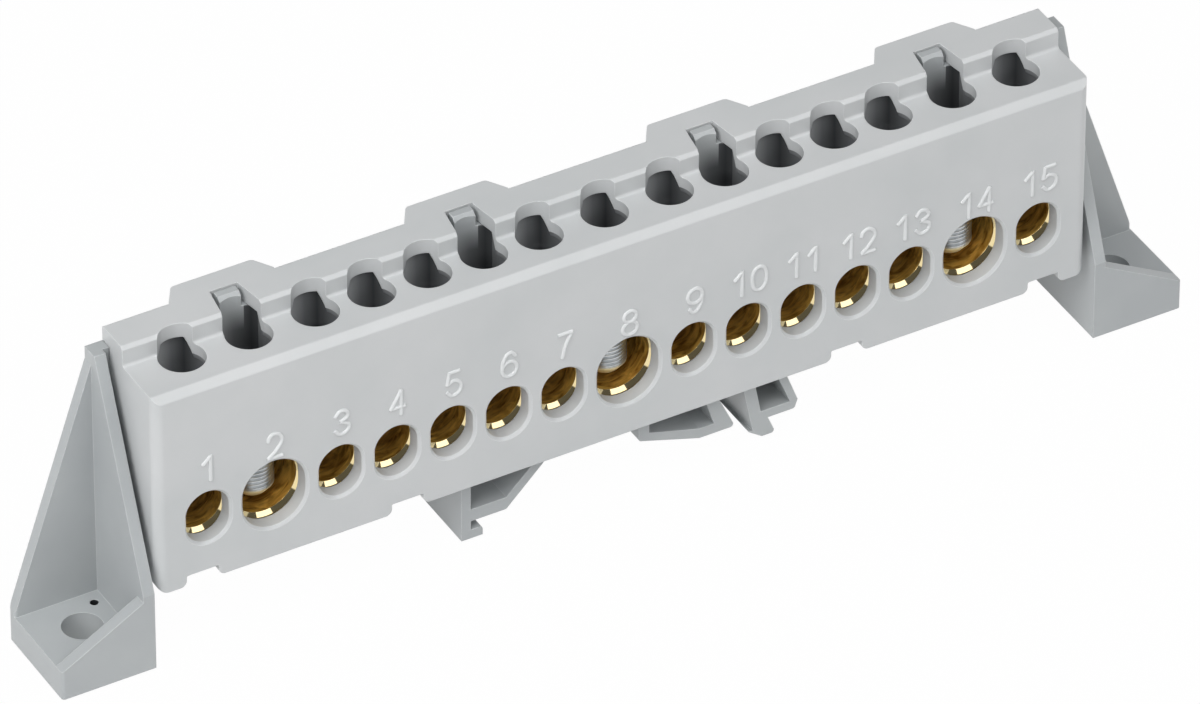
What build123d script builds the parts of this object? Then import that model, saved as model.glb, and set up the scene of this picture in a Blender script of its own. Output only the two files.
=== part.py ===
from build123d import *
import os

# Insulated neutral or earth bus bar with fifteen screw terminals. A brass bar lies in a
# moulded base with two screw feet and hooks for a 35 mm mounting rail, under a moulded
# cover with a wire opening in front and a screwdriver hole above each terminal.
# Millimetres. The origin is midway between the two foot screws, on the mounting plane.
# X runs along the bar, -Y is the wire side, +Z is up.

# Terminals
terminal_count = 15
large_terminals = range(2, terminal_count, 6)
small_pitch = 7.0
large_pitch = 8.25
wire_z = 17.7

# Brass bar
bar_depth = 8.0
bar_height = 12.0
bar_front_reach = 3.3
bar_end_margin = 3.75
bar_edge = 0.3
small_bore = 6.0
large_bore = 8.1
bore_chamfer = 0.45
bar_gap = 0.1

# Clamping screws
screw_diameter = 5.0
screw_hole_gap = 0.05
thread_length = 8.8
tip_diameter = 3.4
tip_length = 1.0
head_diameter = 5.9
head_height = 2.2
open_tip_gap = 0.1
clamped_tip_lift = 1.45
clamped_head_gap = 0.2

# Cover
cover_front_wall = 2.0
cover_end_wall = 1.5
cover_front_to_bar = 0.2
cover_below_floor = 0.4
strip_height = 36.15
step_rise = 2.6
step_y = 1.6
step_wall = 0.7
step_slope = 0.8
top_plate = 1.9
cover_back_gap = 0.2
top_bevel = 0.84
top_bevel_round = 0.3
step_bevel = 0.4
step_bevel_round = 0.2
corner_round = 1.2
low_corner_round = 1.5
step_root_round = 0.4
rear_round = 0.3
small_window = (5.34, 6.8)
large_window = (7.84, 8.95)
window_bevel = 0.3
driver_hole = 5.4
notch_width = 4.0
notch_height = 1.4
notch_round = 0.2
notch_mouth_round = 0.8
notch_inset = 5.6
notch_spacing = 25.6

# Snap lugs of the base in tapered slots of the cover
latch_terminals = range(2, terminal_count, 4)
lobe_base_width = 13.0
lobe_rear_width = 10.0
lobe_reach = 2.4
lobe_round = 0.7
latch_slot_back_width = 3.4
latch_slot_mouth_width = 5.0
latch_slot_mouth_y = 0.9
lug_width = 2.65
lug_depth = 1.4
lug_back_inset = 0.65
lug_gap = 0.25
lug_below_top = 0.15
lug_bevel = 0.5
relief_radius = 4.4
relief_width = 5.8

# Base
base_depth = 12.5
base_end_wall = 1.0
back_wall = 1.45
floor_thickness = 2.0
base_fit = 0.1
well_diameter = 6.5

# Screw feet
foot_to_cover = 0.8
foot_width = 11.6
foot_plate = 3.8
foot_front_wall = 1.5
foot_side_wall = 1.4
foot_front_rise = 10.4
foot_outer_rise = 4.3
apex_width = 0.9
apex_depth = 2.25
foot_hole = 4.7
foot_hole_inset = 5.8
foot_round = 0.4
pin_mark_diameter = 1.0
pin_mark_depth = 1.5
pin_mark_inset_x = 2.75
pin_mark_inset_y = 3.25

# Rail hooks: fixed hook, stop and sprung hook, each one outline along Y
rail_grip = 36.1
rail_lip_gap = 1.2
hook_lift = 0.15
hook_tip_height = 1.2
hook_wall = 1.2
fixed_hook_x = -19.0
fixed_tip_reach = 1.5
fixed_seat_length = 4.5
fixed_floor = 1.65
stop_x = 2.4
stop_wall = 1.35
stop_side_drop = 4.05
stop_drop = 6.6
stop_low_x = 10.2
stop_corner_x = 14.8
stop_top_x = 11.75
sprung_tip_reach = 0.5
sprung_leg_lean = 1.6
sprung_leg_foot = 2.95
sprung_leg_width = 1.5
sprung_heel_slant = 1.0
loop_width = 3.9
loop_bulge = 0.4
loop_top_width = 5.2
loop_wall = 1.15
hook_round = 0.4


def x_positions():
    """Centres of the terminals along the bar, symmetrical about the middle."""
    spots = [0.0]
    for number in range(2, terminal_count + 1):
        wide = number in large_terminals or number - 1 in large_terminals
        spots.append(spots[-1] + (large_pitch if wide else small_pitch))
    middle = spots[-1] / 2
    return [spot - middle for spot in spots]


terminal_x = x_positions()

# Places that follow from the sizes above
bar_front_y = -bar_front_reach
bar_back_y = bar_front_y + bar_depth
wall_front_y = bar_back_y + bar_gap
base_back_y = wall_front_y + back_wall
base_front_y = base_back_y - base_depth
bar_bottom = wire_z - bar_height / 2
bar_top = wire_z + bar_height / 2
bar_half = terminal_x[-1] + bar_end_margin
pocket_half = bar_half + bar_gap
block_half = pocket_half + base_end_wall
cover_inner_half = block_half + base_fit
cover_half = cover_inner_half + cover_end_wall
cover_inner_y = bar_front_y - cover_front_to_bar
cover_front_y = cover_inner_y - cover_front_wall
cover_back_y = base_back_y
floor_top = bar_bottom - bar_gap
floor_bottom = floor_top - floor_thickness
cover_bottom = floor_bottom - cover_below_floor
raised_height = strip_height + step_rise
raised_underside = raised_height - top_plate
strip_underside = strip_height - top_plate
inner_step_y = step_y + step_wall
lobe_back_y = cover_back_y + lobe_reach
base_top = raised_underside - base_fit
block_top = strip_underside - base_fit
block_front_y = cover_inner_y + base_fit
well_bottom = bar_top + bar_gap
foot_inner = cover_half + foot_to_cover
foot_outer = foot_inner + foot_width
foot_hole_x = foot_inner + foot_hole_inset
hook_front_y = cover_inner_y
lug_back_y = base_back_y - lug_back_inset
lug_front_y = lug_back_y - lug_depth


def block(x0, x1, y0, y1, z0, z1):
    centre = Pos((x0 + x1) / 2, (y0 + y1) / 2, (z0 + z1) / 2)
    return centre * Box(x1 - x0, y1 - y0, z1 - z0)


def prism(points, span, direction, rounds):
    """Extrudes a closed outline; rounds pairs the numbers of its corners with radii."""
    face = make_face(Polyline(*points, close=True)).face()
    for number, radius in rounds:
        corner = Vector(*points[number])
        nearest = min(face.vertices(), key=lambda vertex: (Vector(*vertex) - corner).length)
        face = face.fillet_2d(radius, [nearest])
    return extrude(face, span, dir=direction)


def along_x(outline, x0, x1, rounds=()):
    return prism([(x0, y, z) for y, z in outline], x1 - x0, (1, 0, 0), rounds)


def along_y(outline, y0, y1, rounds=()):
    return prism([(x, y0, z) for x, z in outline], y1 - y0, (0, 1, 0), rounds)


def along_z(outline, z0, z1, rounds=()):
    return prism([(x, y, z0) for x, y in outline], z1 - z0, (0, 0, 1), rounds)


def column(x, y, z0, z1, diameter):
    return Pos(x, y, (z0 + z1) / 2) * Cylinder(diameter / 2, z1 - z0)


def both_sides(shape):
    return [shape, mirror(shape, about=Plane.YZ)]


def wire_bore(number):
    return large_bore if number in large_terminals else small_bore


def wire_window(number):
    return large_window if number in large_terminals else small_window


def build_bus_bar():
    """Brass bar with a wire bore, chamfered in front, and a screw hole for each terminal."""
    bar = block(-bar_half, bar_half, bar_front_y, bar_back_y, bar_bottom, bar_top)
    bar = chamfer(bar.edges().filter_by(Axis.X), bar_edge)
    cuts = []
    for number, x in enumerate(terminal_x, 1):
        radius = wire_bore(number) / 2
        mouth = radius + bore_chamfer
        outline = [(0, bar_front_y), (mouth, bar_front_y), (radius, bar_front_y + bore_chamfer),
                   (radius, bar_back_y), (0, bar_back_y)]
        profile = make_face(Polyline(*[(r, y, 0) for r, y in outline], close=True))
        cuts.append(Pos(x, 0, wire_z) * revolve(profile, Axis.Y))
        cuts.append(column(x, 0, wire_z, bar_top, screw_diameter + 2 * screw_hole_gap))
    return bar - cuts


def build_screw():
    """Cheese-head clamping screw with its pointed tip at the origin and its head up."""
    radius = screw_diameter / 2
    head_radius = head_diameter / 2
    top = thread_length + head_height
    outline = [(0, 0), (tip_diameter / 2, 0), (radius, tip_length), (radius, thread_length),
               (head_radius, thread_length), (head_radius, top), (0, top)]
    profile = make_face(Polyline(*[(r, 0, z) for r, z in outline], close=True))
    return revolve(profile, Axis.Z)


def screw_tip_z(number):
    """Large terminals are screwed down until head or tip stops, the small ones open."""
    radius = wire_bore(number) / 2
    if number in large_terminals:
        return max(wire_z - radius + clamped_tip_lift, bar_top + clamped_head_gap - thread_length)
    return wire_z + radius + open_tip_gap


def cover_shell():
    """Front, ends and stepped top of the cover, hollow and open below and behind."""
    end_back_y = wall_front_y - cover_back_gap
    outline = [(cover_front_y, cover_bottom), (cover_front_y, strip_height - top_bevel),
               (cover_front_y + top_bevel, strip_height), (step_y, strip_height),
               (step_y, raised_height - step_bevel), (step_y + step_bevel, raised_height),
               (cover_back_y, raised_height), (cover_back_y, raised_underside),
               (end_back_y, raised_underside), (end_back_y, cover_bottom)]
    rounds = [(1, top_bevel_round), (2, top_bevel_round), (3, step_root_round),
              (4, step_bevel_round), (5, step_bevel_round), (6, rear_round)]
    shell = along_x(outline, -cover_half, cover_half, rounds)

    plan = [(-cover_half, cover_front_y), (cover_half, cover_front_y),
            (cover_half, lobe_back_y), (-cover_half, lobe_back_y)]
    shell &= along_z(plan, cover_bottom, raised_height, [(0, corner_round), (1, corner_round)])
    front_view = [(-cover_half, cover_bottom), (cover_half, cover_bottom),
                  (cover_half, raised_height), (-cover_half, raised_height)]
    low_corners = [(0, low_corner_round), (1, low_corner_round)]
    shell &= along_y(front_view, cover_front_y, lobe_back_y, low_corners)

    cavity = [(cover_inner_y, 0), (cover_inner_y, strip_underside),
              (inner_step_y - step_slope, strip_underside), (inner_step_y, raised_underside),
              (cover_back_y, raised_underside), (cover_back_y, 0)]
    return shell - along_x(cavity, -cover_inner_half, cover_inner_half)


def cover_lobe(x):
    """Rear lobe of the raised plate that surrounds a snap lug."""
    half_base = lobe_base_width / 2
    half_rear = lobe_rear_width / 2
    outline = [(x - half_base, inner_step_y), (x - half_base, cover_back_y),
               (x - half_rear, lobe_back_y), (x + half_rear, lobe_back_y),
               (x + half_base, cover_back_y), (x + half_base, inner_step_y)]
    rounds = [(2, lobe_round), (3, lobe_round)]
    return along_z(outline, raised_underside, raised_height, rounds)


def latch_slot(x):
    """Tapered slot from a driver hole back to the snap lug."""
    half_back = latch_slot_back_width / 2
    half_mouth = latch_slot_mouth_width / 2
    back_y = lug_back_y + lug_gap
    outline = [(x - half_mouth, latch_slot_mouth_y), (x + half_mouth, latch_slot_mouth_y),
               (x + half_back, back_y), (x - half_back, back_y)]
    return along_z(outline, strip_underside, raised_height)


def build_cover():
    """Moulded cover with wire windows, driver holes, latch slots and notches."""
    cover = cover_shell()
    for number in latch_terminals:
        cover += cover_lobe(terminal_x[number - 1])

    cuts = []
    for number, x in enumerate(terminal_x, 1):
        width, height = wire_window(number)
        front = Plane(origin=(x, cover_front_y, wire_z), x_dir=(1, 0, 0), z_dir=(0, -1, 0))
        window = front * SlotOverall(height, width, rotation=90)
        cuts.append(extrude(window, cover_front_wall, dir=(0, 1, 0)))
        cuts.append(column(x, 0, strip_underside, raised_height, driver_hole))
        if number in latch_terminals:
            cuts.append(latch_slot(x))
    outer_notch = cover_half - notch_inset
    for x in (outer_notch - notch_spacing, outer_notch):
        half = notch_width / 2
        outline = [(x - half, cover_bottom), (x - half, cover_bottom + notch_height),
                   (x + half, cover_bottom + notch_height), (x + half, cover_bottom)]
        rounds = [(1, notch_round), (2, notch_round)]
        cuts += both_sides(along_y(outline, cover_front_y, cover_inner_y, rounds))
    cover -= cuts

    mouths = cover.edges().filter_by(Axis.Y).filter_by_position(Axis.Z, cover_bottom, cover_bottom)
    inward = cover_half - low_corner_round
    cover = fillet(mouths.filter_by_position(Axis.X, -inward, inward), notch_mouth_round)
    front_edges = cover.edges().filter_by_position(Axis.Y, cover_front_y, cover_front_y)
    top_window = max(large_window[1], small_window[1]) / 2
    rims = front_edges.filter_by_position(Axis.Z, wire_z - top_window, wire_z + top_window)
    return chamfer(rims, window_bevel)


def build_foot():
    """Right-hand screw foot: thick plate, front, side and rear walls and the fixing hole."""
    plate = block(foot_inner, foot_outer, base_front_y, base_back_y, 0, foot_plate)
    side = along_x([(base_front_y, 0), (base_back_y, 0), (base_back_y, base_top),
                    (base_back_y - apex_depth, base_top), (base_front_y, foot_front_rise)],
                   foot_inner, foot_inner + foot_side_wall)
    rear = along_y([(foot_inner, 0), (foot_outer, 0), (foot_outer, foot_outer_rise),
                    (foot_inner + apex_width, base_top), (foot_inner, base_top)],
                   wall_front_y, base_back_y)
    front = along_y([(foot_inner, 0), (foot_outer, 0), (foot_outer, foot_plate),
                     (foot_inner, foot_front_rise)],
                    base_front_y, base_front_y + foot_front_wall)
    foot = plate + side + rear + front
    outer_edges = foot.edges().filter_by(Axis.Z).filter_by_position(Axis.X, foot_outer, foot_outer)
    foot = fillet(outer_edges, foot_round)
    mark_x = foot_inner + pin_mark_inset_x
    mark_y = base_back_y - pin_mark_inset_y
    foot -= column(foot_hole_x, 0, 0, foot_plate, foot_hole)
    return foot - column(mark_x, mark_y, foot_plate - pin_mark_depth, foot_plate, pin_mark_diameter)


def fixed_hook():
    """Left hook: lip under the rail's edge and a hollow wedge that rests on the rail."""
    tip_top = hook_lift + hook_tip_height
    seat = tip_top + rail_lip_gap
    tip_x = fixed_hook_x + fixed_tip_reach
    seat_end = fixed_hook_x + fixed_seat_length
    outer_x = fixed_hook_x - hook_wall
    rise = floor_bottom - seat
    outline = [(outer_x, hook_lift), (tip_x, hook_lift), (tip_x, tip_top), (fixed_hook_x, tip_top),
               (fixed_hook_x, seat), (seat_end, seat), (seat_end + rise, floor_bottom),
               (outer_x, floor_bottom)]
    hollow_low = seat + fixed_floor
    hollow = [(fixed_hook_x, hollow_low), (seat_end, hollow_low),
              (seat_end + floor_bottom - hollow_low, floor_bottom), (fixed_hook_x, floor_bottom)]
    hook = along_y(outline, hook_front_y, base_back_y, [(2, hook_round), (5, hook_round)])
    return hook - along_y(hollow, hook_front_y, base_back_y)


def rail_stop():
    """Hollow wedge that presses on the rail beside the sprung hook."""
    seat = floor_bottom - stop_drop
    side_low = floor_bottom - stop_side_drop
    outline = [(stop_x, floor_bottom), (stop_x, side_low), (stop_low_x, seat),
               (stop_corner_x, seat), (stop_top_x, floor_bottom)]
    wall = stop_wall
    hollow = [(stop_x + wall, floor_bottom), (stop_x + wall, side_low + wall / 2),
              (stop_low_x, seat + wall), (stop_corner_x - 2 * wall, seat + wall),
              (stop_top_x - wall, floor_bottom)]
    stop = along_y(outline, hook_front_y, base_back_y, [(1, hook_round), (3, hook_round)])
    return stop - along_y(hollow, hook_front_y, base_back_y)


def sprung_hook():
    """Right hook: a springy leg with a lip, and a grip loop beside it."""
    tip_top = hook_lift + hook_tip_height
    seat = tip_top + rail_lip_gap
    leg_x = fixed_hook_x + rail_grip
    tip_x = leg_x - sprung_tip_reach
    foot_x = leg_x + sprung_leg_foot
    loop_x = leg_x + sprung_leg_width + loop_width
    slant = sprung_leg_lean / (floor_bottom - tip_top)
    leg_top_x = leg_x - sprung_leg_lean
    outline = [(leg_top_x, floor_bottom), (leg_x, tip_top), (tip_x, tip_top),
               (leg_x + hook_tip_height, hook_lift), (foot_x, hook_lift),
               (foot_x - sprung_heel_slant, seat), (loop_x, seat),
               (loop_x + loop_bulge, seat + loop_wall), (leg_top_x + loop_top_width, floor_bottom)]
    hollow_low = seat + loop_wall
    hollow_x = leg_x + sprung_leg_width - slant * (hollow_low - tip_top)
    hollow = [(hollow_x, hollow_low), (loop_x - loop_wall / 2, hollow_low),
              (leg_top_x + loop_top_width - loop_wall, floor_bottom),
              (leg_top_x + sprung_leg_width, floor_bottom)]
    hook = along_y(outline, hook_front_y, base_back_y, [(3, hook_round), (4, hook_round), (6, hook_round)])
    return hook - along_y(hollow, hook_front_y, base_back_y)


def snap_lug(x):
    """Lug on the rear wall that comes up through a slot of the cover."""
    top = raised_height - lug_below_top
    outline = [(lug_front_y, block_top), (lug_front_y, top - lug_bevel), (lug_front_y + lug_bevel, top),
               (lug_back_y, top), (lug_back_y, block_top)]
    return along_x(outline, x - lug_width / 2, x + lug_width / 2)


def build_base():
    """Moulded base: rear wall, floor, screw wells over the bar, feet and rail hooks."""
    base = block(-foot_inner, foot_inner, wall_front_y, base_back_y, floor_bottom, base_top)
    base += block(-block_half, block_half, block_front_y, wall_front_y, floor_bottom, block_top)
    slope_back_y = inner_step_y + base_fit
    raised_part = [(slope_back_y - step_slope, block_top), (slope_back_y, base_top),
                   (wall_front_y, base_top), (wall_front_y, block_top)]
    base += along_x(raised_part, -block_half, block_half)
    base -= block(-pocket_half, pocket_half, block_front_y, wall_front_y, floor_top, well_bottom)
    base += [snap_lug(terminal_x[number - 1]) for number in latch_terminals]

    cuts = []
    for number, x in enumerate(terminal_x, 1):
        cuts.append(column(x, 0, well_bottom, base_top, well_diameter))
        if number in latch_terminals:
            half = relief_width / 2
            relief = column(x, 0, well_bottom, raised_height, 2 * relief_radius)
            cuts.append(relief & block(x - half, x + half, 0, base_back_y, well_bottom, raised_height))
    base -= cuts

    base += both_sides(build_foot())
    return base + [fixed_hook(), rail_stop(), sprung_hook()]


base = build_base()
cover = build_cover()
bus_bar = build_bus_bar()
screw = build_screw()

os.makedirs("parts", exist_ok=True)
export_step(base, "parts/base.step")
export_step(cover, "parts/cover.step")
export_step(bus_bar, "parts/bus_bar.step")
for number, x in enumerate(terminal_x, 1):
    placed = Pos(x, 0, screw_tip_z(number)) * screw
    export_step(placed, f"parts/terminal_screw_{number:02d}.step")
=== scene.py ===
import math
import bmesh
import bpy
from mathutils import Matrix, Vector


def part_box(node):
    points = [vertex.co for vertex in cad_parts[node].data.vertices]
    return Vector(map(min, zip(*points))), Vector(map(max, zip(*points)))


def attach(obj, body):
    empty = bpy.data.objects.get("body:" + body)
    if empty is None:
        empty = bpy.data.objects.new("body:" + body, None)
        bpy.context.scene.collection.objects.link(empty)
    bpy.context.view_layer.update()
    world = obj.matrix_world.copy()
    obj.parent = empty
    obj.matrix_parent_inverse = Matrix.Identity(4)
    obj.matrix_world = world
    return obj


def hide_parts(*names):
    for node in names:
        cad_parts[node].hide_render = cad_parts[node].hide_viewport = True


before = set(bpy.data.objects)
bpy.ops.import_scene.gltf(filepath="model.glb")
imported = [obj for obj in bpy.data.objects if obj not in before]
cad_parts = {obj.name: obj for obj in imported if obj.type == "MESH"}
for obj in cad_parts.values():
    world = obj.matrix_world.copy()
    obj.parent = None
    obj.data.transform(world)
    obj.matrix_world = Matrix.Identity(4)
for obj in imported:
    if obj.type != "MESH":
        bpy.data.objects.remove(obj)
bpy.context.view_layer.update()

scene = bpy.context.scene
print("frame loaded:", len(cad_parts), "CAD nodes")


# small helpers

def mm(value):
    return value / 1000


def hexColour(text):
    # sRGB hex to the linear colour that Blender's sockets take
    channels = [int(text[i:i + 2], 16) / 255 for i in (1, 3, 5)]
    return [c / 12.92 if c <= 0.04045 else ((c + 0.055) / 1.055) ** 2.4 for c in channels] + [1]


def addNode(tree, kind, inputs=None, **settings):
    made = tree.nodes.new(kind)
    for key, value in settings.items():
        setattr(made, key, value)
    for socket, value in (inputs or {}).items():
        if isinstance(value, bpy.types.NodeSocket):
            tree.links.new(value, made.inputs[socket])
        else:
            made.inputs[socket].default_value = value
    return made


def startMaterial(name):
    material = bpy.data.materials.new(name)
    material.use_nodes = True
    material.node_tree.nodes.clear()
    return material, material.node_tree


def toneRamp(tree, factor, stops):
    # stops are pairs of a place from 0 to 1 and a colour, the first and the last one included
    ramp = addNode(tree, "ShaderNodeValToRGB", {"Fac": factor})
    elements = ramp.color_ramp.elements
    ends = (elements[0], elements[1])
    for end, (place, tone) in zip(ends, (stops[0], stops[-1])):
        end.position = place
        end.color = hexColour(tone)
    for place, tone in stops[1:-1]:
        elements.new(place).color = hexColour(tone)
    return ramp.outputs["Color"]


def seenRays(tree):
    # 1 for what the camera, mirrors and clear pieces see, 0 for what lights the scene
    path = addNode(tree, "ShaderNodeLightPath")
    seen = addNode(tree, "ShaderNodeMath", {0: path.outputs["Is Camera Ray"], 1: path.outputs["Is Glossy Ray"]},
                   operation="MAXIMUM")
    return addNode(tree, "ShaderNodeMath", {0: seen.outputs[0], 1: path.outputs["Is Transmission Ray"]},
                   operation="MAXIMUM").outputs[0]


def dress(piece, material):
    piece.data.materials.clear()
    piece.data.materials.append(material)


def pieceFrom(bm, name, material, body):
    mesh = bpy.data.meshes.new(name)
    bm.to_mesh(mesh)
    bm.free()
    piece = bpy.data.objects.new(name, mesh)
    scene.collection.objects.link(piece)
    dress(piece, material)
    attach(piece, body)
    return piece


def shadeSmooth(piece, degrees):
    for polygon in piece.data.polygons:
        polygon.use_smooth = True
    piece.data.set_sharp_from_angle(angle=math.radians(degrees))


# moulded housing

# each look's edge share is how far the painted edge highlight lifts its edges towards the mould's pale edge
# tone
cover = {"colour": "#C9CBCC", "blotch": "#C3C6C7", "roughness": 0.30, "edgeHighlightShare": 0.55,
         "wellLow": 33.0, "wellHigh": 36.05}
base = {"colour": "#B2B6B7", "blotch": "#ABAFB1", "roughness": 0.36, "edgeHighlightShare": 0.45,
        "wellLow": 23.75, "wellHigh": 40.0}
# the figures are painted lighter than the cover, a painted highlight on their ridges
figure = {"colour": "#DADCDD", "blotch": "#D5D7D8", "roughness": 0.25, "edgeHighlightShare": 0.0}
# the mould's edge tone is the pale tone of the painted edge highlight
mould = {"blotchSize": 14, "blotchLow": 0.35, "blotchHigh": 0.65, "glossSpread": 0.04,
         "waveSize": 9, "waveStrength": 0.15, "waveDepth": 0.1,
         "grainSize": 0.22, "grainStrength": 0.18, "grainDepth": 0.015,
         "edgeSize": 0.13, "edgeFull": 0.93, "edgeHighlightTone": "#EDEFF0", "ior": 1.52}
# painted shade for the screw wells: wall tones by which way a wall faces, lightest on walls facing right, and
# the bounds of the painted region; the well heights of the cover and base looks bound it in height
well = {"shades": ((-1.0, "#808284"), (-0.52, "#3A3C3E"), (-0.1, "#727476"), (0.5, "#BABCBE")),
        "rightDrop": 1.3, "dropStart": -0.3, "dropFull": -0.8, "side": 56, "front": -3.45, "back": 6.0,
        "lugFront": 4.1, "lugLow": 33.5, "lugHigh": 36.5}
# painted shade for the deep narrow ejector pin holes in the feet
pinHoleShade = {"colour": "#2E3032", "x": 62.75, "y": 3.0, "radius": 0.56, "top": 3.75}


def shadedWells(tree, axes, colour, look):
    # painted shade: the screw wells below the cover's top plate are painted almost black, and
    # lighter to both sides by which way each wall faces, painted light and shade; the right walls of
    # the driver holes stay light further down, and so do the snap lugs behind the wells
    def limit(axis, operation, value):
        return addNode(tree, "ShaderNodeMath", {0: axis, 1: mm(value)}, operation=operation).outputs[0]

    def product(one, other):
        return addNode(tree, "ShaderNodeMath", {0: one, 1: other}, operation="MULTIPLY").outputs[0]

    y, z = axes.outputs["Y"], axes.outputs["Z"]
    across = addNode(tree, "ShaderNodeMath", {0: axes.outputs["X"]}, operation="ABSOLUTE").outputs[0]
    normal = addNode(tree, "ShaderNodeTexCoord").outputs["Normal"]
    facing = addNode(tree, "ShaderNodeSeparateXYZ", {"Vector": normal}).outputs["X"]
    drop = addNode(tree, "ShaderNodeMapRange",
                   {"Value": facing, "From Min": well["dropStart"], "From Max": well["dropFull"],
                    "To Max": mm(well["rightDrop"])})
    raisedZ = addNode(tree, "ShaderNodeMath", {0: z, 1: drop.outputs["Result"]}).outputs[0]
    lugTop = addNode(tree, "ShaderNodeMapRange",
                     {"Value": z, "From Min": mm(well["lugLow"]), "From Max": mm(well["lugHigh"])})
    lug = product(limit(y, "GREATER_THAN", well["lugFront"]), lugTop.outputs["Result"])
    share = addNode(tree, "ShaderNodeMath", {0: 1.0, 1: lug}, operation="SUBTRACT").outputs[0]
    for bound in (limit(z, "GREATER_THAN", look["wellLow"]), limit(raisedZ, "LESS_THAN", look["wellHigh"]),
                  limit(y, "GREATER_THAN", well["front"]), limit(y, "LESS_THAN", well["back"]),
                  limit(across, "LESS_THAN", well["side"])):
        share = product(share, bound)
    low, high = well["shades"][0][0], well["shades"][-1][0]
    side = addNode(tree, "ShaderNodeMapRange", {"Value": facing, "From Min": low, "From Max": high})
    stops = [((turn - low) / (high - low), tone) for turn, tone in well["shades"]]
    shade = toneRamp(tree, side.outputs["Result"], stops)
    mixed = addNode(tree, "ShaderNodeMixRGB", {"Fac": share, "Color1": colour, "Color2": shade})
    return mixed.outputs["Color"]


def shadedPinMarks(tree, axes, colour):
    # painted shade: the deep narrow ejector marks in the feet are painted as black dots
    across = addNode(tree, "ShaderNodeMath", {0: axes.outputs["X"]}, operation="ABSOLUTE")
    spot = addNode(tree, "ShaderNodeCombineXYZ", {"X": across.outputs[0], "Y": axes.outputs["Y"]})
    centre = (mm(pinHoleShade["x"]), mm(pinHoleShade["y"]), 0)
    away = addNode(tree, "ShaderNodeVectorMath", {0: spot.outputs["Vector"], 1: centre}, operation="DISTANCE")
    near = addNode(tree, "ShaderNodeMath", {0: away.outputs["Value"], 1: mm(pinHoleShade["radius"])},
                   operation="LESS_THAN")
    below = addNode(tree, "ShaderNodeMath", {0: axes.outputs["Z"], 1: mm(pinHoleShade["top"])},
                    operation="LESS_THAN")
    mark = addNode(tree, "ShaderNodeMath", {0: near.outputs[0], 1: below.outputs[0]}, operation="MULTIPLY")
    mixed = addNode(tree, "ShaderNodeMixRGB",
                    {"Fac": mark.outputs[0], "Color1": colour, "Color2": hexColour(pinHoleShade["colour"])})
    return mixed.outputs["Color"]


def rubbedEdges(tree, colour, softNormal, share):
    # a painted highlight: edges are lifted towards a pale tone where the rounded normal leaves the face's own
    faceNormal = addNode(tree, "ShaderNodeNewGeometry").outputs["Normal"]
    along = addNode(tree, "ShaderNodeVectorMath", {0: softNormal, 1: faceNormal}, operation="DOT_PRODUCT")
    edge = addNode(tree, "ShaderNodeMapRange",
                   {"Value": along.outputs["Value"], "From Min": 1.0, "From Max": mould["edgeFull"],
                    "To Min": 0.0, "To Max": share})
    mixed = addNode(tree, "ShaderNodeMixRGB",
                    {"Fac": edge.outputs["Result"], "Color1": colour, "Color2": hexColour(mould["edgeHighlightTone"])})
    return mixed.outputs["Color"]


def satinPolyamide(name, look):
    # flame-retardant polyamide moulded in a fine spark-eroded tool: an even grey with a soft,
    # broad highlight, edges that are never quite sharp and carry a painted highlight, faint flow
    # clouds and shallow waves where the walls cooled; where the look gives well heights, painted
    # shade in the screw wells and pin holes
    material, tree = startMaterial(name)
    place = addNode(tree, "ShaderNodeTexCoord").outputs["Object"]
    clouds = addNode(tree, "ShaderNodeTexNoise",
                     {"Vector": place, "Scale": 1 / mm(mould["blotchSize"]), "Detail": 3.0, "Roughness": 0.55})
    tone = toneRamp(tree, clouds.outputs["Fac"],
                    ((mould["blotchLow"], look["blotch"]), (mould["blotchHigh"], look["colour"])))
    softEdge = addNode(tree, "ShaderNodeBevel", {"Radius": mm(mould["edgeSize"])}, samples=6)
    # painted highlight along the edges
    colour = rubbedEdges(tree, tone, softEdge.outputs["Normal"], look["edgeHighlightShare"])
    # painted shade in the screw wells and the pin holes
    if "wellLow" in look:
        axes = addNode(tree, "ShaderNodeSeparateXYZ", {"Vector": place})
        colour = shadedPinMarks(tree, axes, shadedWells(tree, axes, colour, look))
    grain = addNode(tree, "ShaderNodeTexNoise",
                    {"Vector": place, "Scale": 1 / mm(mould["grainSize"]), "Detail": 2.0})
    waves = addNode(tree, "ShaderNodeTexNoise",
                    {"Vector": place, "Scale": 1 / mm(mould["waveSize"]), "Detail": 1.0})
    gloss = addNode(tree, "ShaderNodeMapRange",
                    {"Value": clouds.outputs["Fac"], "To Min": look["roughness"] - mould["glossSpread"],
                     "To Max": look["roughness"] + mould["glossSpread"]})
    waveBump = addNode(tree, "ShaderNodeBump",
                       {"Height": waves.outputs["Fac"], "Strength": mould["waveStrength"],
                        "Distance": mm(mould["waveDepth"]), "Normal": softEdge.outputs["Normal"]})
    grainBump = addNode(tree, "ShaderNodeBump",
                        {"Height": grain.outputs["Fac"], "Strength": mould["grainStrength"],
                         "Distance": mm(mould["grainDepth"]), "Normal": waveBump.outputs["Normal"]})
    shader = addNode(tree, "ShaderNodeBsdfPrincipled",
                     {"Base Color": colour, "Roughness": gloss.outputs["Result"],
                      "IOR": mould["ior"], "Normal": grainBump.outputs["Normal"]})
    addNode(tree, "ShaderNodeOutputMaterial", {"Surface": shader.outputs["BSDF"]})
    return material


coverPlastic = satinPolyamide("coverPolyamide", cover)
basePlastic = satinPolyamide("basePolyamide", base)
dress(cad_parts["cover"], coverPlastic)
dress(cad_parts["base"], basePlastic)
print("housing dressed")


# brass bar

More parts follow.
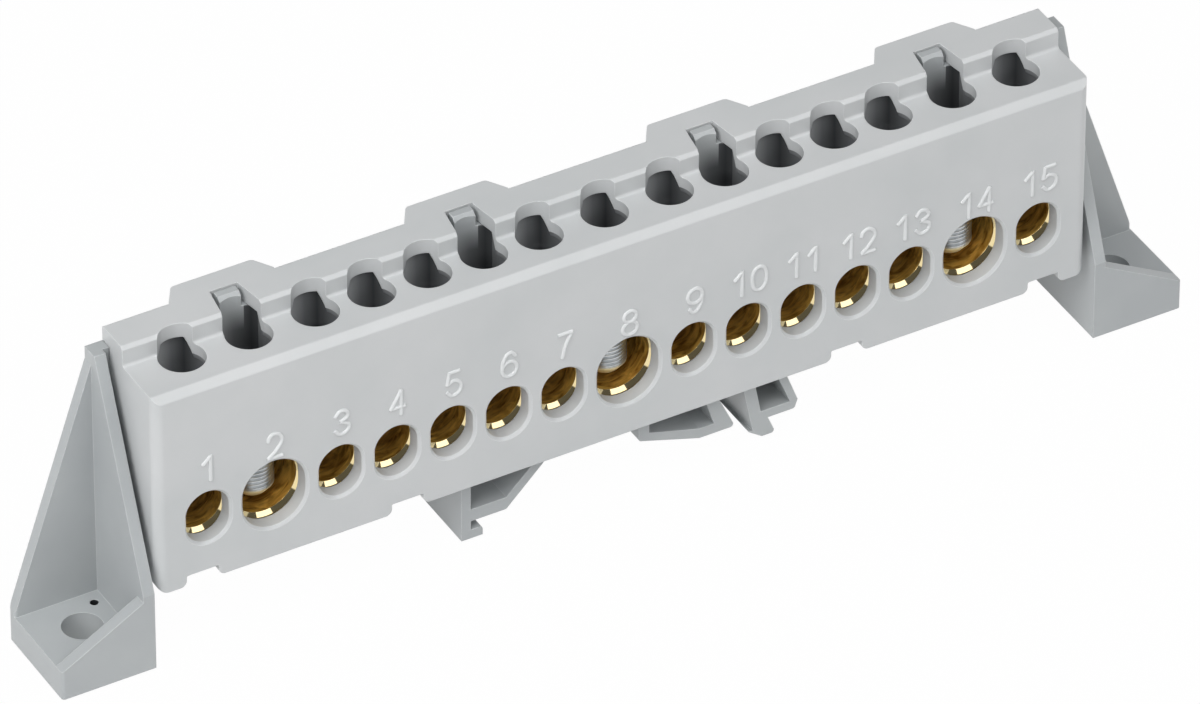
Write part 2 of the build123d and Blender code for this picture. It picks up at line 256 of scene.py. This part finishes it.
# the bore tones carry painted shade and painted glints over the drill streaks
brass = {"colour": "#F0DDAA", "boreDark": "#8A6019", "boreLight": "#FFD06A", "mouthRoughness": 0.06,
         "boreRoughness": 0.3, "boreMetal": 0.45, "mouthDepth": 0.45, "mouthBlend": 0.05,
         "streakWidth": 0.8, "streakLength": 2.2, "streakLow": 0.33, "streakHigh": 0.74,
         "streakStrength": 0.9, "streakDepth": 0.06}


def drilledBrass(name, look, frontY):
    # leaded brass, drilled and countersunk: the countersinks and the front face mirror the lights,
    # the bores behind them are browner and duller, with streaks round them from the drill; their
    # dark brown to bright gold tones are painted shade and painted glints over those streaks
    material, tree = startMaterial(name)
    place = addNode(tree, "ShaderNodeTexCoord").outputs["Object"]
    axes = addNode(tree, "ShaderNodeSeparateXYZ", {"Vector": place})
    mouthEnd = frontY + mm(look["mouthDepth"])
    inside = addNode(tree, "ShaderNodeMapRange",
                     {"Value": axes.outputs["Y"], "From Min": mouthEnd,
                      "From Max": mouthEnd + mm(look["mouthBlend"])})
    drawn = addNode(tree, "ShaderNodeVectorMath",
                    {0: place, 1: (1, look["streakLength"] / look["streakWidth"], 1)}, operation="MULTIPLY")
    streaks = addNode(tree, "ShaderNodeTexNoise",
                      {"Vector": drawn.outputs["Vector"], "Scale": 1 / mm(look["streakLength"]), "Detail": 2.5,
                       "Roughness": 0.55, "Distortion": 0.7})
    # painted shade and painted glints: the bore runs from dark brown to bright gold along the drill streaks
    bore = toneRamp(tree, streaks.outputs["Fac"],
                    ((look["streakLow"], look["boreDark"]), (look["streakHigh"], look["boreLight"])))
    tone = addNode(tree, "ShaderNodeMixRGB",
                   {"Fac": inside.outputs["Result"], "Color1": hexColour(look["colour"]), "Color2": bore})
    gloss = addNode(tree, "ShaderNodeMapRange",
                    {"Value": inside.outputs["Result"], "To Min": look["mouthRoughness"],
                     "To Max": look["boreRoughness"]})
    metal = addNode(tree, "ShaderNodeMapRange",
                    {"Value": inside.outputs["Result"], "To Min": 1.0, "To Max": look["boreMetal"]})
    height = addNode(tree, "ShaderNodeMath", {0: streaks.outputs["Fac"], 1: inside.outputs["Result"]},
                     operation="MULTIPLY")
    bump = addNode(tree, "ShaderNodeBump",
                   {"Height": height.outputs[0], "Strength": look["streakStrength"],
                    "Distance": mm(look["streakDepth"])})
    shader = addNode(tree, "ShaderNodeBsdfPrincipled",
                     {"Base Color": tone.outputs["Color"], "Metallic": metal.outputs["Result"],
                      "Roughness": gloss.outputs["Result"], "Normal": bump.outputs["Normal"]})
    addNode(tree, "ShaderNodeOutputMaterial", {"Surface": shader.outputs["BSDF"]})
    return material


barBrass = drilledBrass("drilledBrass", brass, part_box("bus_bar")[0][1])
dress(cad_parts["bus_bar"], barBrass)
print("bar dressed")


# clamping screws

# rootEnd, crestStart and crestEnd are heights in the thread's profile, as shares of the pitch
screw = {"pitch": 0.5, "coreDepth": 0.28, "rootEnd": 0.12, "crestStart": 0.45, "crestEnd": 0.67,
         "stepsPerTurn": 32, "tipLength": 1.0, "tipRadius": 1.7, "threadRadius": 2.5, "threadLength": 8.8,
         "headRadius": 2.95, "headHeight": 2.2, "headRound": 0.5, "headSides": 48, "roundSteps": 4,
         "slotWidth": 0.9, "slotDepth": 1.2, "turnApart": 1.1}
zinc = {"colour": "#DEE1E3", "shade": "#BFC3C6", "roughness": 0.28, "metal": 0.85,
        "cloudSize": 1.2, "cloudLow": 0.35, "cloudHigh": 0.65,
        "grainSize": 0.12, "grainStrength": 0.15, "grainDepth": 0.01,
        # the tip colour, metal, height and blend set the painted brass reflection at the screw tips
        "tip": "#FFEBB4", "tipMetal": 0.2, "tipHeight": 16.25, "tipBlend": 0.15}


def brightZinc(name, look):
    # carbon steel, rolled thread, clear zinc plating: silvery with a faint cloudiness; the tips
    # of the three screws that reach down into the large bores carry a painted reflection of the
    # brass: a cream gold, barely metallic tone
    material, tree = startMaterial(name)
    place = addNode(tree, "ShaderNodeTexCoord").outputs["Object"]
    clouds = addNode(tree, "ShaderNodeTexNoise",
                     {"Vector": place, "Scale": 1 / mm(look["cloudSize"]), "Detail": 3.0})
    tone = toneRamp(tree, clouds.outputs["Fac"],
                    ((look["cloudLow"], look["shade"]), (look["cloudHigh"], look["colour"])))
    axes = addNode(tree, "ShaderNodeSeparateXYZ", {"Vector": place})
    # painted reflection: below the tip height the zinc takes a cream gold, barely metallic tone
    tip = addNode(tree, "ShaderNodeMapRange",
                  {"Value": axes.outputs["Z"], "From Min": mm(look["tipHeight"]),
                   "From Max": mm(look["tipHeight"] - look["tipBlend"])})
    zincAndTipReflection = addNode(tree, "ShaderNodeMixRGB",
                     {"Fac": tip.outputs["Result"], "Color1": tone, "Color2": hexColour(look["tip"])})
    metal = addNode(tree, "ShaderNodeMapRange",
                    {"Value": tip.outputs["Result"], "To Min": look["metal"], "To Max": look["tipMetal"]})
    grain = addNode(tree, "ShaderNodeTexNoise",
                    {"Vector": place, "Scale": 1 / mm(look["grainSize"]), "Detail": 2.0})
    bump = addNode(tree, "ShaderNodeBump",
                   {"Height": grain.outputs["Fac"], "Strength": look["grainStrength"],
                    "Distance": mm(look["grainDepth"])})
    shader = addNode(tree, "ShaderNodeBsdfPrincipled",
                     {"Base Color": zincAndTipReflection.outputs["Color"], "Metallic": metal.outputs["Result"],
                      "Roughness": look["roughness"], "Normal": bump.outputs["Normal"]})
    addNode(tree, "ShaderNodeOutputMaterial", {"Surface": shader.outputs["BSDF"]})
    return material


def addThread(bm):
    # one pitch of the profile, spun upwards as a helix, then cut square and tapered at the tip
    outer = screw["threadRadius"]
    core = outer - screw["coreDepth"]
    pitch = screw["pitch"]
    turns = math.ceil(screw["threadLength"] / pitch) + 2
    profile = [(core, 0), (core, screw["rootEnd"] * pitch), (outer, screw["crestStart"] * pitch),
               (outer, screw["crestEnd"] * pitch), (core, pitch)]
    corners = [bm.verts.new((mm(r), 0, mm(z - pitch))) for r, z in profile]
    edges = [bm.edges.new(pair) for pair in zip(corners, corners[1:])]
    steps = turns * screw["stepsPerTurn"]
    bmesh.ops.spin(bm, geom=corners + edges, cent=(0, 0, 0), axis=(0, 0, 1),
                   dvec=(0, 0, mm(pitch / screw["stepsPerTurn"])), angle=turns * 2 * math.pi,
                   steps=steps, use_merge=False, use_duplicate=False)
    bmesh.ops.remove_doubles(bm, verts=bm.verts[:], dist=mm(0.004))
    for height, side in ((0, -1), (screw["threadLength"], 1)):
        bmesh.ops.bisect_plane(bm, geom=bm.verts[:] + bm.edges[:] + bm.faces[:], dist=mm(0.0005),
                               plane_co=(0, 0, mm(height)), plane_no=(0, 0, side), clear_outer=True)
        rim = [edge for edge in bm.edges if edge.is_boundary
               and all(abs(v.co.z - mm(height)) < mm(0.02) for v in edge.verts)]
        bmesh.ops.holes_fill(bm, edges=rim, sides=0)
    slope = (outer - screw["tipRadius"]) / screw["tipLength"]
    for vertex in bm.verts:
        radius = math.hypot(vertex.co.x, vertex.co.y)
        limit = mm(screw["tipRadius"]) + vertex.co.z * slope
        if radius > limit > 0:
            vertex.co.x *= limit / radius
            vertex.co.y *= limit / radius


def addHead(bm):
    # a full disc below and two half moons above it, which leave the driver slot between them
    radius = mm(screw["headRadius"])
    low = mm(screw["threadLength"])
    floor = low + mm(screw["headHeight"] - screw["slotDepth"])
    top = low + mm(screw["headHeight"])
    sides = screw["headSides"]
    disc = bmesh.ops.create_cone(bm, cap_ends=True, segments=sides, radius1=radius, radius2=radius,
                                 depth=floor - low)
    bmesh.ops.translate(bm, verts=disc["verts"], vec=(0, 0, (low + floor) / 2))
    for side in (-1, 1):
        crown = bmesh.ops.create_cone(bm, cap_ends=True, segments=sides, radius1=radius, radius2=radius,
                                      depth=top - floor + mm(0.02))
        bmesh.ops.translate(bm, verts=crown["verts"], vec=(0, 0, (top + floor) / 2 - mm(0.01)))
        crownEdges = {edge for vertex in crown["verts"] for edge in vertex.link_edges}
        topEdges = [edge for edge in crownEdges if all(v.co.z > top - mm(0.1) for v in edge.verts)]
        bevelled = bmesh.ops.bevel(bm, geom=topEdges, offset=mm(screw["headRound"]),
                                   segments=screw["roundSteps"], profile=0.5, affect="EDGES", material=-1)
        faces = {face for vertex in crown["verts"] if vertex.is_valid for face in vertex.link_faces}
        faces |= set(bevelled["faces"])
        verts = {vertex for face in faces for vertex in face.verts}
        edges = {edge for face in faces for edge in face.edges}
        cut = bmesh.ops.bisect_plane(bm, geom=list(verts) + list(edges) + list(faces), dist=mm(0.0005),
                                     plane_co=(0, side * mm(screw["slotWidth"] / 2), 0),
                                     plane_no=(0, -side, 0), clear_outer=True)
        rim = [item for item in cut["geom_cut"] if isinstance(item, bmesh.types.BMEdge)]
        bmesh.ops.holes_fill(bm, edges=rim, sides=0)


def threadedScrew(number):
    tag = f"{number:02d}"
    low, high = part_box(f"terminal_screw_{tag}")
    bm = bmesh.new()
    addThread(bm)
    addHead(bm)
    turn = Matrix.Rotation(number * screw["turnApart"], 3, "Z")
    bmesh.ops.rotate(bm, verts=bm.verts[:], cent=(0, 0, 0), matrix=turn)
    bmesh.ops.translate(bm, verts=bm.verts[:], vec=((low[0] + high[0]) / 2, (low[1] + high[1]) / 2, low[2]))
    bmesh.ops.recalc_face_normals(bm, faces=bm.faces[:])
    piece = pieceFrom(bm, f"clampScrew_{tag}", screwZinc, f"screw_{tag}")
    shadeSmooth(piece, 35)
    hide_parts(f"terminal_screw_{tag}")


screwZinc = brightZinc("brightZincPlate", zinc)
for number in range(1, 16):
    threadedScrew(number)
print("screws made")


# raised terminal numbers

numeral = {"height": 3.22, "width": 1.85, "lowZ": 22.88, "shift": 0.12, "advance": 2.45,
           "stroke": 0.52, "rise": 0.2, "curveSteps": 6, "roundSteps": 2}

# strokes of each figure in a box one wide and one high: straight, curved or closed
figures = {
    "0": [("ring", (0.5, 1), (0, 0.5), (0.5, 0), (1, 0.5))],
    "1": [("line", (0.09, 0.7), (0.63, 1)), ("line", (0.63, 1.05), (0.63, -0.04))],
    "2": [("curve", (0.02, 0.72), (0.14, 0.93), (0.5, 1), (0.95, 0.73), (0.62, 0.33), (0, 0)),
          ("line", (-0.05, 0), (1, 0))],
    "3": [("curve", (0.03, 0.78), (0.47, 1), (0.93, 0.76), (0.4, 0.54)),
          ("curve", (0.4, 0.54), (1, 0.27), (0.48, 0), (0, 0.23))],
    "4": [("line", (0.72, -0.04), (0.72, 1)), ("line", (0.76, 1.04), (0, 0.28)),
          ("line", (-0.02, 0.3), (1, 0.3))],
    "5": [("line", (0.92, 1), (0.16, 1)), ("line", (0.21, 1.05), (0.06, 0.5)),
          ("curve", (0.06, 0.5), (0.5, 0.63), (1, 0.32), (0.46, 0), (0, 0.22))],
    "6": [("curve", (0.93, 0.8), (0.55, 1), (0.12, 0.75), (0, 0.34)),
          ("ring", (0.5, 0.62), (0, 0.31), (0.5, 0), (1, 0.31))],
    "7": [("line", (0, 1), (1.04, 1)), ("curve", (1, 1), (0.55, 0.5), (0.33, -0.04))],
    "8": [("ring", (0.5, 1), (0.08, 0.77), (0.5, 0.54), (0.92, 0.77)),
          ("ring", (0.5, 0.54), (0, 0.27), (0.5, 0), (1, 0.27))],
    "9": [("ring", (0.5, 1), (0, 0.69), (0.5, 0.38), (1, 0.69)),
          ("curve", (1, 0.66), (0.88, 0.25), (0.45, 0), (0.07, 0.2))],
}


def addStroke(curve, stroke, left):
    kind, points = stroke[0], stroke[1:]
    spline = curve.splines.new("BEZIER")
    spline.bezier_points.add(len(points) - 1)
    for knot, (across, up) in zip(spline.bezier_points, points):
        knot.co = (mm(left + across * numeral["width"]), mm(up * numeral["height"]), 0)
        knot.handle_left_type = knot.handle_right_type = "VECTOR" if kind == "line" else "AUTO"
    spline.use_cyclic_u = kind == "ring"


def raisedNumber(number, x, y):
    # figures cut into the mould with a round-nosed cutter: each stroke is a rounded ridge,
    # half sunk into the front of the cover
    curve = bpy.data.curves.new("figures", "CURVE")
    curve.dimensions = "3D"
    curve.bevel_depth = mm(numeral["stroke"] / 2)
    curve.bevel_resolution = numeral["roundSteps"]
    curve.resolution_u = numeral["curveSteps"]
    curve.use_fill_caps = True
    digits = str(number)
    for place, digit in enumerate(digits):
        left = (place - (len(digits) - 1) / 2) * numeral["advance"] - numeral["width"] / 2
        for stroke in figures[digit]:
            addStroke(curve, stroke, left)
    holder = bpy.data.objects.new("figures", curve)
    scene.collection.objects.link(holder)
    bpy.context.view_layer.update()
    ridges = bpy.data.meshes.new_from_object(holder.evaluated_get(bpy.context.evaluated_depsgraph_get()))
    bpy.data.objects.remove(holder)
    bm = bmesh.new()
    bm.from_mesh(ridges)
    bmesh.ops.remove_doubles(bm, verts=bm.verts[:], dist=mm(0.001))
    bmesh.ops.scale(bm, verts=bm.verts[:], vec=(1, 1, numeral["rise"] * 2 / numeral["stroke"]))
    bmesh.ops.rotate(bm, verts=bm.verts[:], cent=(0, 0, 0), matrix=Matrix.Rotation(math.pi / 2, 3, "X"))
    bmesh.ops.translate(bm, verts=bm.verts[:], vec=(x + mm(numeral["shift"]), y, mm(numeral["lowZ"])))
    bmesh.ops.recalc_face_normals(bm, faces=bm.faces[:])
    piece = pieceFrom(bm, f"numeral_{number:02d}", figurePlastic, "housing")
    shadeSmooth(piece, 50)


# the figures' lighter colour is a painted highlight
figurePlastic = satinPolyamide("highlightPaintedPolyamide", figure)
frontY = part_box("cover")[0][1]
for number in range(1, 16):
    low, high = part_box(f"terminal_screw_{number:02d}")
    raisedNumber(number, (low[0] + high[0]) / 2, frontY)
print("numbers made")


# stage, light and camera

studio = {"floorSize": 6, "floorColour": "#D8D8D8", "fibreSize": 0.8, "fibreStrength": 0.05, "glow": 0.985,
          "horizon": 0.52, "zenith": 0.24, "roomLow": 0.3, "roomHigh": 0.9,
          "backdrop": 0.08, "backdropBlend": 0.05, "ceiling": 0.1,
          "lamps": {"left": {"power": 3.45, "turn": -68, "rise": 36, "size": 0.55, "distance": 0.8},
                    "key": {"power": 4.8, "turn": -20, "rise": 68, "size": 0.7, "distance": 1.3},
                    "side": {"power": 3.2, "turn": 32, "rise": 43, "size": 0.78, "distance": 1.3}}}


def paperFloor():
    # white paper: lit like any surface, with a glow that only camera, mirror and clear rays see
    material, tree = startMaterial("whitePaper")
    place = addNode(tree, "ShaderNodeTexCoord").outputs["Object"]
    fibre = addNode(tree, "ShaderNodeTexNoise",
                    {"Vector": place, "Scale": 1 / mm(studio["fibreSize"]), "Detail": 2.0})
    bump = addNode(tree, "ShaderNodeBump",
                   {"Height": fibre.outputs["Fac"], "Strength": studio["fibreStrength"], "Distance": mm(0.02)})
    paper = addNode(tree, "ShaderNodeBsdfDiffuse",
                    {"Color": hexColour(studio["floorColour"]), "Normal": bump.outputs["Normal"]})
    glow = addNode(tree, "ShaderNodeEmission", {"Color": (1, 1, 1, 1), "Strength": 1.0})
    share = addNode(tree, "ShaderNodeMath", {0: seenRays(tree), 1: studio["glow"]}, operation="MULTIPLY")
    mixed = addNode(tree, "ShaderNodeMixShader",
                    {0: share.outputs[0], 1: paper.outputs["BSDF"], 2: glow.outputs["Emission"]})
    addNode(tree, "ShaderNodeOutputMaterial", {"Surface": mixed.outputs["Shader"]})
    bm = bmesh.new()
    bmesh.ops.create_grid(bm, x_segments=1, y_segments=1, size=studio["floorSize"] / 2)
    bmesh.ops.translate(bm, verts=bm.verts[:], vec=(0, 0, -mm(0.02)))
    mesh = bpy.data.meshes.new("floor")
    bm.to_mesh(mesh)
    bm.free()
    floor = bpy.data.objects.new("floor", mesh)
    scene.collection.objects.link(floor)
    dress(floor, material)


def softbox(name, lamp):
    # turn is degrees to the right of the front, rise degrees above the floor
    light = bpy.data.lights.new(name, "AREA")
    light.shape = "SQUARE"
    light.size = lamp["size"]
    light.energy = lamp["power"]
    holder = bpy.data.objects.new(name, light)
    scene.collection.objects.link(holder)
    a, e = math.radians(lamp["turn"]), math.radians(lamp["rise"])
    away = Vector((math.sin(a) * math.cos(e), -math.cos(a) * math.cos(e), math.sin(e)))
    holder.location = Vector((0, 0, mm(20))) + away * lamp["distance"]
    holder.rotation_euler = away.to_track_quat("Z", "Y").to_euler()


def studioWorld():
    # a room that is light all round and dim overhead; what the camera and mirrors see of it
    # is a white backdrop that runs up to a dark ceiling
    world = bpy.data.worlds.new("studio")
    scene.world = world
    world.use_nodes = True
    tree = world.node_tree
    tree.nodes.clear()
    ray = addNode(tree, "ShaderNodeTexCoord").outputs["Generated"]
    height = addNode(tree, "ShaderNodeSeparateXYZ", {"Vector": ray}).outputs["Z"]
    room = addNode(tree, "ShaderNodeMapRange",
                   {"Value": height, "From Min": studio["roomLow"], "From Max": studio["roomHigh"],
                    "To Min": studio["horizon"], "To Max": studio["zenith"]})
    paper = addNode(tree, "ShaderNodeMapRange",
                    {"Value": height, "From Min": studio["backdrop"],
                     "From Max": studio["backdrop"] + studio["backdropBlend"],
                     "To Min": 1.0, "To Max": studio["ceiling"]})
    strength = addNode(tree, "ShaderNodeMix",
                       {"Factor": seenRays(tree), "A": room.outputs["Result"], "B": paper.outputs["Result"]})
    sky = addNode(tree, "ShaderNodeBackground", {"Color": (1, 1, 1, 1), "Strength": strength.outputs["Result"]})
    addNode(tree, "ShaderNodeOutputWorld", {"Surface": sky.outputs["Background"]})


view = {"turn": 29.5346, "rise": 37.8473, "roll": 0.0575, "lens": 403.2567, "sensor": 36, "far": 20,
        "place": (-581.18, -1024.76, 932.09)}


def photoCamera():
    # the photograph was taken from the left of the front with a long lens
    a, e, roll = (math.radians(view[key]) for key in ("turn", "rise", "roll"))
    right = Vector((math.cos(a), -math.sin(a), 0))
    ahead = Vector((math.sin(a) * math.cos(e), math.cos(a) * math.cos(e), -math.sin(e)))
    up = right.cross(ahead)
    rolledRight = right * math.cos(roll) + up * math.sin(roll)
    rolledUp = up * math.cos(roll) - right * math.sin(roll)
    camera = bpy.data.cameras.new("camera")
    camera.lens = view["lens"]
    camera.sensor_fit = "HORIZONTAL"
    camera.sensor_width = view["sensor"]
    camera.clip_end = view["far"]
    holder = bpy.data.objects.new("camera", camera)
    scene.collection.objects.link(holder)
    turned = Matrix((rolledRight, rolledUp, -ahead)).transposed().to_4x4()
    holder.matrix_world = Matrix.Translation([mm(c) for c in view["place"]]) @ turned
    scene.camera = holder


paperFloor()
for name, lamp in studio["lamps"].items():
    softbox(f"{name}Light", lamp)
studioWorld()
photoCamera()
scene.view_settings.view_transform = "Standard"
print("stage, light and camera set")
